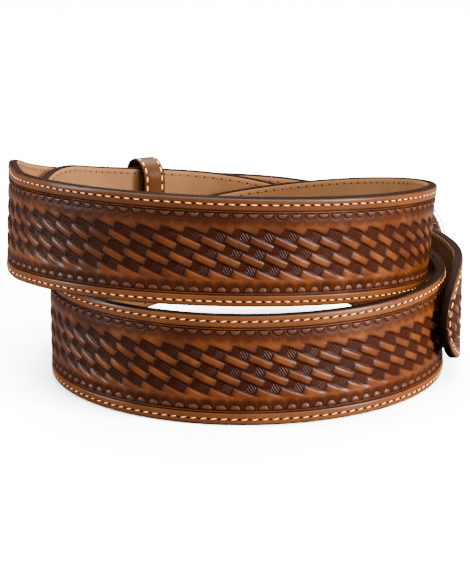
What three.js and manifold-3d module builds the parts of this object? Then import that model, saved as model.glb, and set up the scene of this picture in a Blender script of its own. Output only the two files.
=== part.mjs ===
import * as THREE from 'three';
import { mergeVertices } from 'three/addons/utils/BufferGeometryUtils.js';
import Module from 'manifold-3d';

const wasm = await Module();
wasm.setup();

// A lined leather belt, tooled outside, standing on its edge in a coil of two and a half turns.
// Millimetres, +Z up, the floor at Z = 0, the front of the coil towards -Y.

// Driving dimensions of the strap and its coil
const strapWidth = 38.1;
const tooledThickness = 2.1;
const liningThickness = 1.0;
const liningInset = 0.3;         // how far the lining's edges stay back from the outer layer's
const seatGap = 0.3;             // clearance between pieces that touch
const coilRadius = 80;
const innerRounding = 34;        // length of the rounding at the strap's inner end
const outerRounding = 32;
const startTurn = 7;             // degrees, the tip of the inner end
const finishTurn = 930;          // degrees, the tip of the outer end
const outerEndDrop = 1.6;        // how much lower the outer end first lies than the layer inside it
const outerEndLift = 4.8;        // how much higher than that layer its tip lies

// Driving dimensions of the keeper, a wide loop round both ends of the strap
const keeperTurn = 61.5;
const keeperWidth = 9;
const keeperThickness = 1.7;
const keeperInnerRoom = 3.4;     // between the keeper and the lining
const keeperCrownRoom = 2.4;     // between the keeper's crown and the strap's edge
const keeperBottomRoom = 2.2;
const keeperCorner = 3.5;
const keeperFit = 0.5;           // clearance of the keeper on the curved outer layer

// Driving dimensions of the two narrow straps
const billetWidth = 19;
const billetThickness = 2.3;
const billetRounding = 11;
const buckleBilletLength = 62;
const eyeWall = 1.2;             // leather round the buckle's bar
const tongueReach = 66;          // how far the tongue goes past the strap's inner end
const tongueSeam = 76;           // how much of the tongue is sewn on the strap
const tongueHoleRadius = 2.2;
const tongueHolePitch = 12.7;
const tongueHoleCount = 5;
const tongueFirstHole = 13;      // from the tongue's tip

// Driving dimensions of the buckle
const buckleTurn = 860;          // degrees, the middle of the buckle
const buckleLength = 58;
const buckleHeight = 49.4;
const buckleCorner = 17;
const buckleFloorRoom = 2.0;
const plateThickness = 2.0;
const openingLength = 26;
const openingRoom = 4.5;         // above and below the narrow strap in the buckle's opening
const openingCorner = 4;
const ropeRadius = 1.35;
const ropePitch = 2.5;           // from one strand of the rope edge to the next
const ropeGroove = 0.14;         // depth of the rope's grooves, a share of its radius
const barRadius = 1.5;
const pinWidth = 3;
const pinRadius = 1.3;
const pinReach = 8;              // how far the pin lies over the plate

const strapThickness = tooledThickness + seatGap + liningThickness;
const layerStep = strapThickness + billetThickness + 2 * seatGap;
const outerFace = strapThickness / 2;
const innerFace = -outerFace;
const eyeRadius = barRadius + seatGap + eyeWall;
const eyeMiddle = outerFace + seatGap + eyeRadius;
const plateBack = outerFace + billetThickness + 2 * seatGap;
const plateFront = plateBack + plateThickness;
const openingHeight = billetWidth + 2 * openingRoom;

// The strap's route seen from above goes clockwise from the left, a row for each eighth of a turn.
// reach is the distance from the coil's middle, a share of coilRadius. lift is the height of the
// lower edge, and lean how far that edge stands out, both shares of strapWidth.
const rowStep = 45;
const routeRows = [
  { turn: -45, reach: 0.95, lift: 1.59, lean: 0.00 },
  { turn: 0, reach: 0.94, lift: 0.97, lean: 0.00 },
  { turn: 45, reach: 0.92, lift: 0.58, lean: 0.00 },
  { turn: 90, reach: 0.92, lift: 0.48, lean: 0.00 },
  { turn: 135, reach: 0.92, lift: 0.05, lean: 0.00 },
  { turn: 180, reach: 0.93, lift: -0.03, lean: 0.00 },
  { turn: 225, reach: 1.02, lift: -0.03, lean: 0.00 },
  { turn: 270, reach: 1.04, lift: -0.03, lean: 0.00 },
  { turn: 315, reach: 0.94, lift: -0.03, lean: 0.00 },
  { turn: 360, reach: 0.80, lift: -0.02, lean: 0.00 },
  { turn: 405, reach: 0.75, lift: 0.12, lean: 0.00 },
  { turn: 450, reach: 0.77, lift: 0.32, lean: 0.00 },
  { turn: 495, reach: 0.83, lift: 0.54, lean: -0.02 },
  { turn: 540, reach: 0.90, lift: 0.76, lean: -0.07 },
  { turn: 585, reach: 0.95, lift: 0.94, lean: -0.13 },
  { turn: 630, reach: 0.98, lift: 1.05, lean: -0.13 },
  { turn: 675, reach: 1.00, lift: 1.05, lean: 0.01 },
  { turn: 720, reach: 1.01, lift: 0.94, lean: 0.12 },
  { turn: 765, reach: 1.02, lift: 0.57, lean: 0.09 },
  { turn: 810, reach: 1.02, lift: 0.10, lean: 0.02 },
];
const fullTurn = 360;
const overlapTurn = 2 * fullTurn;    // the outer end lies this far round from the inner end
const settleOver = 30;               // degrees over which the outer end settles on the inner end
const riseFrom = 790;                // degrees, where the outer end begins to rise
const riseOver = 60;                 // degrees over which it does

function rowValue(turn, column) {
  const place = turn / rowStep;
  const first = THREE.MathUtils.clamp(Math.floor(place), 0, routeRows.length - 4);
  const f = place - first;
  const [a, b, c, d] = routeRows.slice(first, first + 4).map((row) => row[column]);
  const fromA = (1 - f) ** 3;
  const fromB = 3 * f ** 3 - 6 * f ** 2 + 4;
  const fromC = -3 * f ** 3 + 3 * f ** 2 + 3 * f + 1;
  return (fromA * a + fromB * b + fromC * c + f ** 3 * d) / 6;
}

// The outer end settles beside the inner end, with room for the narrow strap between them, and rises
// towards its tip. A lower edge that the rows put just under the floor lies on it.
function routeValues(turn) {
  const { smootherstep, lerp } = THREE.MathUtils;
  const meeting = overlapTurn + startTurn;
  const settled = smootherstep(turn, meeting - settleOver, meeting);
  const risen = smootherstep(turn, riseFrom, riseFrom + riseOver);
  const mix = (column) => lerp(
    rowValue(Math.min(turn, meeting), column), rowValue(turn - overlapTurn, column), settled);
  return {
    reach: coilRadius * mix('reach') + settled * layerStep,
    lift: strapWidth * Math.max(0, mix('lift')) + settled * lerp(-outerEndDrop, outerEndLift, risen),
    lean: strapWidth * mix('lean'),
  };
}

function routePoint(turn) {
  const { reach, lift, lean } = routeValues(turn);
  const azimuth = THREE.MathUtils.degToRad(180 - turn);
  const radius = reach + lean / 2;
  return new THREE.Vector3(
    radius * Math.cos(azimuth), radius * Math.sin(azimuth), lift + strapWidth / 2);
}

// A frame on the strap's middle line: along the strap, up across its width, and out of the coil.
function frameAt(turn) {
  const point = routePoint(turn);
  const along = routePoint(turn + 0.2).sub(routePoint(turn - 0.2)).normalize();
  const azimuth = THREE.MathUtils.degToRad(180 - turn);
  const radial = new THREE.Vector3(Math.cos(azimuth), Math.sin(azimuth), 0);
  const up = new THREE.Vector3(0, 0, 1).addScaledVector(radial, -routeValues(turn).lean / strapWidth);
  up.addScaledVector(along, -up.dot(along)).normalize();
  const out = new THREE.Vector3().crossVectors(up, along).normalize();
  return { point, along, up, out };
}

// Lengths along the strap's middle line, summed once in steps of one degree
const lastTurn = finishTurn + 20;
const lengthAtDegree = [0];
for (let turn = 1; turn <= lastTurn; turn += 1) {
  const step = routePoint(turn).distanceTo(routePoint(turn - 1));
  lengthAtDegree.push(lengthAtDegree[turn - 1] + step);
}

function lengthAt(turn) {
  const degree = Math.min(Math.floor(turn), lastTurn - 1);
  return THREE.MathUtils.lerp(lengthAtDegree[degree], lengthAtDegree[degree + 1], turn - degree);
}

function turnFrom(turn, distance) {
  const wanted = lengthAt(turn) + distance;
  const after = lengthAtDegree.findIndex((length) => length > wanted);
  const before = after - 1;
  const share = (wanted - lengthAtDegree[before]) / (lengthAtDegree[after] - lengthAtDegree[before]);
  return before + share;
}

// A point in the strap's own measure: distance from a turn, height over the middle, distance out
function strapPoint(anchorTurn, distance, height, outward) {
  const { point, up, out } = frameAt(turnFrom(anchorTurn, distance));
  return point.addScaledVector(up, height).addScaledVector(out, outward);
}

function meshGeometry(points, triangles) {
  const geometry = new THREE.BufferGeometry();
  geometry.setAttribute('position', new THREE.Float32BufferAttribute(points.flatMap((p) => p.toArray()), 3));
  geometry.setIndex(triangles);
  const merged = mergeVertices(geometry, 1e-4);
  const kept = [];
  for (let i = 0; i < merged.index.count; i += 3) {
    const corner = [0, 1, 2].map((k) => merged.index.getX(i + k));
    if (new Set(corner).size === 3) kept.push(...corner);
  }
  merged.setIndex(kept);
  merged.computeVertexNormals();
  return merged;
}

// A solid through rings of points, each ring with as many points, closed at both ends or on itself.
// The two sides of a band are split along the same diagonals, so that layers stay parallel.
function loft(rings, closed) {
  const size = rings[0].length;
  const triangles = [];
  const last = closed ? rings.length : rings.length - 1;
  for (let i = 0; i < last; i += 1) {
    const a = i * size;
    const b = ((i + 1) % rings.length) * size;
    for (let k = 0; k < size; k += 1) {
      const n = (k + 1) % size;
      if (k < size / 2) triangles.push(a + k, a + n, b + n, a + k, b + n, b + k);
      else triangles.push(a + k, a + n, b + k, a + n, b + n, b + k);
    }
  }
  if (!closed) {
    const end = (rings.length - 1) * size;
    for (let k = 1; k < size - 1; k += 1) {
      triangles.push(0, k + 1, k, end, end + k, end + k + 1);
    }
  }
  return meshGeometry(rings.flat(), triangles);
}

// Places along a band with rounded ends: the distance from its start and the half width there
const roundingSteps = 7;
function bandStations(length, halfWidth, startRounding, endRoundingLength, stationStep) {
  const rounded = (rounding) => Array.from({ length: roundingSteps + 1 }, (_, k) => {
    const angle = (k / roundingSteps) * (Math.PI / 2);
    return { inset: rounding * (1 - Math.cos(angle)), half: halfWidth * Math.sin(angle) };
  });
  const square = [{ inset: 0, half: halfWidth }];
  const start = startRounding > 0 ? rounded(startRounding) : square;
  const end = endRoundingLength > 0 ? rounded(endRoundingLength) : square;
  const stations = start.map(({ inset, half }) => ({ distance: inset, half }));
  const from = stations.at(-1).distance;
  const to = length - end.at(-1).inset;
  const count = Math.max(1, Math.round((to - from) / stationStep));
  for (let k = 1; k < count; k += 1) {
    stations.push({ distance: THREE.MathUtils.lerp(from, to, k / count), half: halfWidth });
  }
  for (const { inset, half } of end.reverse()) stations.push({ distance: length - inset, half });
  return stations;
}

// A flat band that follows the strap's route, between two distances out of the middle line
function band(anchorTurn, startDistance, length, halfWidth, inner, outer, roundings, stationStep) {
  const stations = bandStations(length, halfWidth, roundings[0], roundings[1], stationStep);
  return loft(stations.map(({ distance, half }) => {
    const { point, up, out } = frameAt(turnFrom(anchorTurn, startDistance + distance));
    const corner = (height, outward) =>
      point.clone().addScaledVector(up, height).addScaledVector(out, outward);
    return [corner(-half, outer), corner(half, outer), corner(half, inner), corner(-half, inner)];
  }), false);
}

function toSolid(geometry) {
  const bare = geometry.clone();
  bare.deleteAttribute('normal');
  bare.deleteAttribute('uv');
  const merged = mergeVertices(bare, 1e-4);
  return new wasm.Manifold(new wasm.Mesh({
    numProp: 3,
    vertProperties: merged.attributes.position.array,
    triVerts: Uint32Array.from(merged.index.array),
  }));
}

function fromSolid(solid) {
  const { vertProperties, triVerts } = solid.getMesh();
  const geometry = new THREE.BufferGeometry();
  geometry.setAttribute('position', new THREE.BufferAttribute(Float32Array.from(vertProperties), 3));
  geometry.setIndex(Array.from(triVerts));
  geometry.computeVertexNormals();
  return geometry;
}

// Turns a piece drawn with x out, y up and z along into its place on the strap at one turn
function placeOnStrap(geometry, turn) {
  const { point, along, up, out } = frameAt(turn);
  return geometry.applyMatrix4(new THREE.Matrix4().makeBasis(out, up, along).setPosition(point));
}

// The same for a piece that stands upright where the strap slopes
function placeUpright(geometry, turn) {
  const { point, along } = frameAt(turn);
  const up = new THREE.Vector3(0, 0, 1);
  const level = along.setZ(0).normalize();
  const out = new THREE.Vector3().crossVectors(up, level);
  return geometry.applyMatrix4(new THREE.Matrix4().makeBasis(out, up, level).setPosition(point));
}

const strapLength = lengthAt(finishTurn) - lengthAt(startTurn);
const strapStationStep = 5.8;

function beltBody() {
  return band(startTurn, 0, strapLength, strapWidth / 2, outerFace - tooledThickness, outerFace,
    [innerRounding, outerRounding], strapStationStep);
}

function beltLining() {
  const halfWidth = strapWidth / 2 - liningInset;
  return band(startTurn, liningInset, strapLength - 2 * liningInset, halfWidth, innerFace,
    innerFace + liningThickness, [innerRounding, outerRounding], strapStationStep);
}

// The keeper's section has an arched crown that rests on the outer layer's upper edge, straight
// sides and round lower corners.
function keeperOutline(grow) {
  const inner = innerFace - keeperInnerRoom - grow;
  const outer = layerStep + outerFace + keeperFit + grow;
  const middle = (inner + outer) / 2;
  const halfDepth = (outer - inner) / 2;
  const top = strapWidth / 2 + keeperCrownRoom + grow;
  const seatShare = Math.sqrt(1 - ((layerStep + outerFace - middle) / (halfDepth - grow)) ** 2);
  const archHeight = (keeperCrownRoom + outerEndDrop - keeperFit) / (1 - seatShare) + grow;
  const bottom = -strapWidth / 2 - outerEndDrop - keeperBottomRoom - grow;
  const corner = keeperCorner + grow;
  const shape = new THREE.Shape();
  shape.moveTo(inner + corner, bottom);
  shape.lineTo(outer - corner, bottom);
  shape.absarc(outer - corner, bottom + corner, corner, -Math.PI / 2, 0, false);
  shape.absellipse(middle, top - archHeight, halfDepth, archHeight, 0, Math.PI, false, 0);
  shape.absarc(inner + corner, bottom + corner, corner, Math.PI, 1.5 * Math.PI, false);
  return shape;
}

function keeperLoop() {
  const shape = keeperOutline(keeperThickness);
  shape.holes.push(keeperOutline(0));
  const geometry = new THREE.ExtrudeGeometry(shape, {
    depth: keeperWidth, steps: 1, bevelEnabled: false, curveSegments: 12,
  });
  return placeUpright(geometry.translate(0, 0, -keeperWidth / 2), keeperTurn);
}

// A round bar across the strap's width, drawn at one turn and a distance out
function crossBar(turn, outward, radius, length, height, sides) {
  const bar = new THREE.CylinderGeometry(radius, radius, length, sides);
  return toSolid(placeOnStrap(bar.translate(outward, height, 0), turn));
}

const barTurn = turnFrom(buckleTurn, -(openingLength / 2 - eyeRadius - seatGap));
const buckleRise = buckleFloorRoom + buckleHeight / 2 - frameAt(buckleTurn).point.z;

// The narrow strap on the outer end, whose eye holds the buckle's bar, with a slot for the pin
function buckleBillet() {
  const flat = toSolid(band(barTurn, -buckleBilletLength, buckleBilletLength, billetWidth / 2,
    outerFace + seatGap, outerFace + seatGap + billetThickness, [billetRounding, 0], 4));
  const eye = crossBar(barTurn, eyeMiddle, eyeRadius, billetWidth, 0, 20);
  const bore = crossBar(barTurn, eyeMiddle, barRadius + seatGap, billetWidth + 2, 0, 16);
  const slotLength = 2 * (eyeRadius + 1);
  const slot = new THREE.BoxGeometry(slotLength, pinWidth + 4 * seatGap, slotLength);
  slot.translate(eyeMiddle, 0, 0);
  return fromSolid(flat.add(eye).subtract(bore).subtract(toSolid(placeOnStrap(slot, barTurn))));
}

// The narrow strap on the inner end lies between the two layers and reaches past that end.
function tongueBillet() {
  const tipTurn = overlapTurn + startTurn;
  const outward = innerFace - seatGap;
  let tongue = toSolid(band(tipTurn, -tongueReach, tongueReach + tongueSeam, billetWidth / 2,
    outward - billetThickness, outward, [billetRounding, billetRounding], 4));
  for (let k = 0; k < tongueHoleCount; k += 1) {
    const hole = new THREE.CylinderGeometry(tongueHoleRadius, tongueHoleRadius, 3 * billetThickness, 12);
    hole.rotateZ(Math.PI / 2).translate(outward - billetThickness / 2, 0, 0);
    const turn = turnFrom(tipTurn, tongueFirstHole + k * tongueHolePitch - tongueReach);
    tongue = tongue.subtract(toSolid(placeOnStrap(hole, turn)));
  }
  return fromSolid(tongue);
}

// A rounded rectangle as evenly spaced points, starting in the middle of its right side
function roundedOutline(length, height, corner, count) {
  const shape = new THREE.Path();
  const x = length / 2;
  const y = height / 2;
  shape.moveTo(x, 0);
  shape.lineTo(x, y - corner);
  shape.absarc(x - corner, y - corner, corner, 0, Math.PI / 2, false);
  shape.absarc(corner - x, y - corner, corner, Math.PI / 2, Math.PI, false);
  shape.absarc(corner - x, corner - y, corner, Math.PI, 1.5 * Math.PI, false);
  shape.absarc(x - corner, corner - y, corner, 1.5 * Math.PI, 2 * Math.PI, false);
  shape.lineTo(x, 0);
  return { points: shape.getSpacedPoints(count).slice(0, count), length: shape.getLength() };
}

function bucklePoint(x, y, outward) {
  return strapPoint(buckleTurn, x, buckleRise + y, outward);
}

const plateStations = 72;
function bucklePlate() {
  const edge = roundedOutline(buckleLength - 2 * ropeRadius, buckleHeight - 2 * ropeRadius,
    buckleCorner - ropeRadius, plateStations).points;
  const opening = roundedOutline(openingLength, openingHeight, openingCorner, plateStations).points;
  return loft(edge.map((e, i) => {
    const o = opening[i];
    const m = e.clone().add(o).multiplyScalar(0.5);
    return [[e, plateBack], [e, plateFront], [m, plateFront], [o, plateFront], [o, plateBack], [m, plateBack]]
      .map(([p, outward]) => bucklePoint(p.x, p.y, outward));
  }), true);
}

const ropeSides = 5;
const stationsPerStrand = 3;
function buckleRope() {
  const size = [buckleLength - 2 * ropeRadius, buckleHeight - 2 * ropeRadius, buckleCorner - ropeRadius];
  const strands = Math.round(roundedOutline(...size, plateStations).length / ropePitch);
  const count = strands * stationsPerStrand;
  const line = roundedOutline(...size, count).points;
  const middle = (plateBack + plateFront) / 2;
  return loft(line.map((p, i) => {
    const next = line[(i + 1) % count];
    const before = line[(i + count - 1) % count];
    const normal = new THREE.Vector2(next.y - before.y, before.x - next.x).normalize();
    return Array.from({ length: ropeSides }, (_, k) => {
      const angle = (2 * Math.PI * k) / ropeSides;
      const wave = Math.cos((2 * Math.PI * i) / stationsPerStrand - angle);
      const radius = ropeRadius * (1 - ropeGroove + ropeGroove * wave);
      const side = radius * Math.cos(angle);
      return bucklePoint(p.x + normal.x * side, p.y + normal.y * side, middle + radius * Math.sin(angle));
    });
  }), true);
}

function buckleFrame() {
  const plate = toSolid(bucklePlate());
  const rope = toSolid(buckleRope());
  const bar = crossBar(barTurn, eyeMiddle, barRadius, openingHeight + 3, buckleRise, 14);
  return fromSolid(plate.add(rope).add(bar));
}

// The pin's ring turns on the bar inside the narrow strap's slot, and its arm rests on the plate.
function bucklePin() {
  const ring = crossBar(barTurn, eyeMiddle, eyeRadius, pinWidth, 0, 20)
    .subtract(crossBar(barTurn, eyeMiddle, barRadius + seatGap, pinWidth + 2, 0, 16));
  const outward = plateFront + seatGap + pinRadius;
  const reach = openingLength - eyeRadius - seatGap + pinReach;
  const steps = 10;
  const sides = 8;
  const rings = Array.from({ length: steps + 1 }, (_, i) => {
    const taper = i === steps ? 0.45 : 1;
    return Array.from({ length: sides }, (_unused, k) => {
      const angle = (2 * Math.PI * k) / sides;
      return strapPoint(barTurn, (reach * i) / steps, taper * pinRadius * Math.sin(angle),
        outward + taper * pinRadius * Math.cos(angle));
    });
  });
  return fromSolid(ring.add(toSolid(loft(rings, false))));
}

const toolingBrown = new THREE.MeshStandardMaterial({ color: 0x7a4522, roughness: 0.5, metalness: 0 });
const liningTan = new THREE.MeshStandardMaterial({ color: 0xb98a56, roughness: 0.8, metalness: 0 });
const plainBrown = new THREE.MeshStandardMaterial({ color: 0x8a4616, roughness: 0.45, metalness: 0 });
const silver = new THREE.MeshStandardMaterial({ color: 0xc9c7c2, roughness: 0.3, metalness: 1 });

const pieces = {
  belt_body: [beltBody(), toolingBrown],
  belt_lining: [beltLining(), liningTan],
  keeper_loop: [keeperLoop(), plainBrown],
  tongue_billet: [tongueBillet(), plainBrown],
  buckle_billet: [buckleBillet(), plainBrown],
  buckle_frame: [buckleFrame(), silver],
  buckle_pin: [bucklePin(), silver],
};

const belt = new THREE.Group();
for (const [name, [geometry, material]] of Object.entries(pieces)) {
  const mesh = new THREE.Mesh(geometry, material);
  mesh.name = name;
  belt.add(mesh);
}

// The origin lies on the floor under the middle of the coil's outer size.
const extent = new THREE.Box3().setFromObject(belt, true);
const middle = extent.getCenter(new THREE.Vector3());
belt.position.set(-middle.x, -middle.y, -extent.min.z);
belt.updateMatrixWorld(true);

export default belt;
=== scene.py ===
# A coiled ranger belt: a tooled and lined strap, its stitching, keeper, narrow straps and rope edged buckle
import math

import bpy
import numpy as np
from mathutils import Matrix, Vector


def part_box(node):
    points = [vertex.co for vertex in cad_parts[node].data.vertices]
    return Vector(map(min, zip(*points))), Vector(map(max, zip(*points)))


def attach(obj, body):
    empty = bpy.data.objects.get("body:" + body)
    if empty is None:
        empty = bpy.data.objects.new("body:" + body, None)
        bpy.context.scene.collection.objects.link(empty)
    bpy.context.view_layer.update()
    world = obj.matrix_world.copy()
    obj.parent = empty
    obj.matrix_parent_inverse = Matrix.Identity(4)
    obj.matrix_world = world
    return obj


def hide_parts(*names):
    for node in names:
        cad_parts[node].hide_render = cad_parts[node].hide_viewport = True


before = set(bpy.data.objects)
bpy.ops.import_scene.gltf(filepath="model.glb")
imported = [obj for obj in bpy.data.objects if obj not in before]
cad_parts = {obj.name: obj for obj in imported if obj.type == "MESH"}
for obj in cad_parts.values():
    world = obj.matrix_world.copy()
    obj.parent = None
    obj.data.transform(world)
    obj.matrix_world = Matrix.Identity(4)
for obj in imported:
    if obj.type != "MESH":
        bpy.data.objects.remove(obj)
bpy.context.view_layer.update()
bpy.ops.object.select_all(action="DESELECT")
metre = 0.001                     # pieces are drawn in millimetres and laid in metres
print("frame loaded")

# The strap and its route, as the frame has them: a row for each eighth of a turn, in shares
strap = {
    "width": 38.1, "tooled": 2.1, "gap": 0.3, "lining": 1.0, "liningInset": 0.3,
    "narrow": 2.3,                # thickness of the narrow straps
    "coilRadius": 80.0, "startTurn": 7.0, "finishTurn": 930.0,
    "innerRounding": 34.0, "outerRounding": 32.0,
    "settleOver": 30.0, "riseFrom": 790.0, "riseOver": 60.0, "endDrop": 1.6, "endLift": 4.8,
}
rowStep = 45.0
reachRows = [.95, .94, .92, .92, .92, .93, 1.02, 1.04, .94, .80, .75, .77, .83, .90, .95, .98, 1.00, 1.01,
             1.02, 1.02]
liftRows = [1.59, .97, .58, .48, .05, -.03, -.03, -.03, -.03, -.02, .12, .32, .54, .76, .94, 1.05, 1.05, .94,
            .57, .10]
leanRows = [0, 0, 0, 0, 0, 0, 0, 0, 0, 0, 0, 0, -.02, -.07, -.13, -.13, .01, .12, .09, .02]
overlapTurn = 720.0
halfWidth = strap["width"] / 2
thickness = strap["tooled"] + strap["gap"] + strap["lining"]
layerStep = thickness + strap["narrow"] + 2 * strap["gap"]
outerFace = thickness / 2
innerFace = -outerFace


def smootherStep(x):
    x = np.clip(x, 0, 1)
    return x ** 3 * (x * (6 * x - 15) + 10)


def rowValue(rows, turn):         # a uniform cubic B-spline through the rows
    c = np.array(rows, float)
    place = turn / rowStep
    k = np.clip(np.floor(place).astype(int), 0, len(c) - 4)
    f = place - k
    return ((1 - f) ** 3 * c[k] + (3 * f ** 3 - 6 * f ** 2 + 4) * c[k + 1]
            + (-3 * f ** 3 + 3 * f ** 2 + 3 * f + 1) * c[k + 2] + f ** 3 * c[k + 3]) / 6


def routeValues(turn):
    meeting = overlapTurn + strap["startTurn"]
    settled = smootherStep((turn - meeting) / strap["settleOver"] + 1)
    risen = smootherStep((turn - strap["riseFrom"]) / strap["riseOver"])

    def mix(rows):
        return (rowValue(rows, np.minimum(turn, meeting)) * (1 - settled)
                + rowValue(rows, turn - overlapTurn) * settled)
    reach = strap["coilRadius"] * mix(reachRows) + settled * layerStep
    drop = -strap["endDrop"] + (strap["endLift"] + strap["endDrop"]) * risen
    lift = strap["width"] * np.maximum(0, mix(liftRows)) + settled * drop
    return reach, lift, strap["width"] * mix(leanRows)


def routePoint(turn):
    reach, lift, lean = routeValues(turn)
    azimuth = np.radians(180 - turn)
    radius = reach + lean / 2
    return np.stack([radius * np.cos(azimuth), radius * np.sin(azimuth), lift + halfWidth], -1)


def unit(v):
    return v / np.linalg.norm(v, axis=-1, keepdims=True)


def frameAt(turn):                # the middle line's point, and the ways along, up and out there
    point = routePoint(turn)
    along = unit(routePoint(turn + 0.2) - routePoint(turn - 0.2))
    azimuth = np.radians(180 - turn)
    level = np.zeros_like(azimuth)
    radial = np.stack([np.cos(azimuth), np.sin(azimuth), level], -1)
    up = np.stack([level, level, level + 1], -1) - radial * (routeValues(turn)[2] / strap["width"])[..., None]
    up = unit(up - along * (up * along).sum(-1, keepdims=True))
    return point, along, up, unit(np.cross(up, along))


turnTable = np.arange(0, strap["finishTurn"] + 20.5, 0.5)
lengthTable = np.concatenate([[0], np.cumsum(np.linalg.norm(np.diff(routePoint(turnTable), axis=0), axis=1))])


def lengthAt(turn):
    return float(np.interp(turn, turnTable, lengthTable))


startLength = lengthAt(strap["startTurn"])
strapLength = lengthAt(strap["finishTurn"]) - startLength


def onRoute(s, w, n):             # s along from the inner tip, w over the middle, n out of the coil
    turn = np.interp(np.asarray(s, float) + startLength, lengthTable, turnTable)
    point, along, up, out = frameAt(turn)
    return point + up * np.asarray(w)[..., None] + out * np.asarray(n)[..., None]


def distanceOf(turn):
    return lengthAt(turn) - startLength


# Where the coil's middle stands: the route's own box is set on the strap's box in the frame
sample = np.linspace(0, strapLength, 3000)
own = np.concatenate([onRoute(sample, 0 * sample, 0 * sample + n) for n in (outerFace - strap["tooled"], outerFace)])
low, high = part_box("belt_body")
middleX = ((low.x + high.x) / metre - own[:, 0].min() - own[:, 0].max()) / 2
middleY = ((low.y + high.y) / metre - own[:, 1].min() - own[:, 1].max()) / 2
coilMiddle = np.array([middleX, middleY, 0.0])

# The camera stands in front of the coil and looks down on it
view = {"focalPixels": 2016.0, "imageLongSide": 587.0, "sensor": 36.0, "back": 730.0, "height": 214.0, "pitch": 14.57}
bpy.ops.object.camera_add(
    location=tuple((coilMiddle + [0, -view["back"], view["height"]]) * metre),
    rotation=(math.radians(90 - view["pitch"]), 0, 0))
camera = bpy.context.object
camera.data.sensor_width = view["sensor"]
camera.data.lens = view["focalPixels"] / view["imageLongSide"] * view["sensor"]
camera.data.clip_start = 0.01
bpy.context.scene.camera = camera
print("camera placed")


# Reading and setting the vertices of a piece
def vertices(piece):
    flat = np.empty(len(piece.data.vertices) * 3, np.float32)
    piece.data.vertices.foreach_get("co", flat)
    return flat.reshape(-1, 3).astype(float)


def setVertices(piece, points):
    piece.data.vertices.foreach_set("co", np.asarray(points, np.float32).ravel())
    piece.data.update()


def edit(piece, work):            # runs the edit mode steps of one piece with only that piece selected
    bpy.ops.object.select_all(action="DESELECT")
    piece.select_set(True)
    bpy.context.view_layer.objects.active = piece
    bpy.ops.object.mode_set(mode="EDIT")
    work()
    bpy.ops.object.mode_set(mode="OBJECT")


def tidy(piece, distance=1e-4):
    def work():
        bpy.ops.mesh.select_all(action="SELECT")
        bpy.ops.mesh.remove_doubles(threshold=distance)
        bpy.ops.mesh.dissolve_degenerate(threshold=distance / 2)
        bpy.ops.mesh.select_all(action="SELECT")
        bpy.ops.mesh.normals_make_consistent(inside=False)
    edit(piece, work)


def applyModifier(piece, kind, **settings):
    modifier = piece.modifiers.new(kind.title(), kind)
    for key, value in settings.items():
        setattr(modifier, key, value)
    bpy.ops.object.select_all(action="DESELECT")
    piece.select_set(True)
    bpy.context.view_layer.objects.active = piece
    bpy.ops.object.modifier_apply(modifier=modifier.name)


def keepLay(piece, lay):          # keeps each vertex's place on the flat strap for the materials
    attribute = piece.data.attributes.new("lay", "FLOAT_VECTOR", "POINT")
    attribute.data.foreach_set("vector", np.asarray(lay, np.float32).ravel())


def place(piece, points):         # from millimetres round the coil's middle to the frame's metres
    setVertices(piece, (np.asarray(points) + coilMiddle) * metre)


def finishPiece(piece, material, slot, *nodes, smooth=60):
    piece.data.materials.clear()
    piece.data.materials.append(material)
    bpy.ops.object.select_all(action="DESELECT")
    piece.select_set(True)
    bpy.context.view_layer.objects.active = piece
    bpy.ops.object.shade_smooth_by_angle(angle=math.radians(smooth))
    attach(piece, "root")
    if nodes:
        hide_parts(*nodes)
    piece.select_set(False)


def repeat(name, template, places):    # joined copies of one small closed shape, each at its own place
    points, polygons = template
    count = len(places)
    mesh = bpy.data.meshes.new(name)
    allPoints = np.concatenate([put(points) for put in places])
    corners = np.concatenate([polygons + len(points) * k for k in range(count)])
    mesh.from_pydata([], [], [])
    mesh.vertices.add(len(allPoints))
    mesh.vertices.foreach_set("co", ((allPoints + coilMiddle) * metre).astype(np.float32).ravel())
    mesh.loops.add(corners.size)
    mesh.loops.foreach_set("vertex_index", corners.astype(np.int32).ravel())
    mesh.polygons.add(len(corners))
    mesh.polygons.foreach_set("loop_start", np.arange(0, corners.size, 3, dtype=np.int32))
    mesh.update(calc_edges=True)
    mesh.validate()
    piece = bpy.data.objects.new(name, mesh)
    bpy.context.scene.collection.objects.link(piece)
    return piece


def smallBall(segments, rings):   # a small sphere's points and triangles, kept to be repeated
    bpy.ops.mesh.primitive_uv_sphere_add(segments=segments, ring_count=rings, radius=1)
    ball = bpy.context.object
    applyModifier(ball, "TRIANGULATE")
    points = vertices(ball)
    polygons = np.array([list(p.vertices) for p in ball.data.polygons])
    bpy.data.objects.remove(ball)
    return points, polygons


# Materials
def newMaterial(name):
    material = bpy.data.materials.new(name)
    material.use_nodes = True
    tree = material.node_tree
    return material, tree, tree.nodes["Principled BSDF"]


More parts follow.
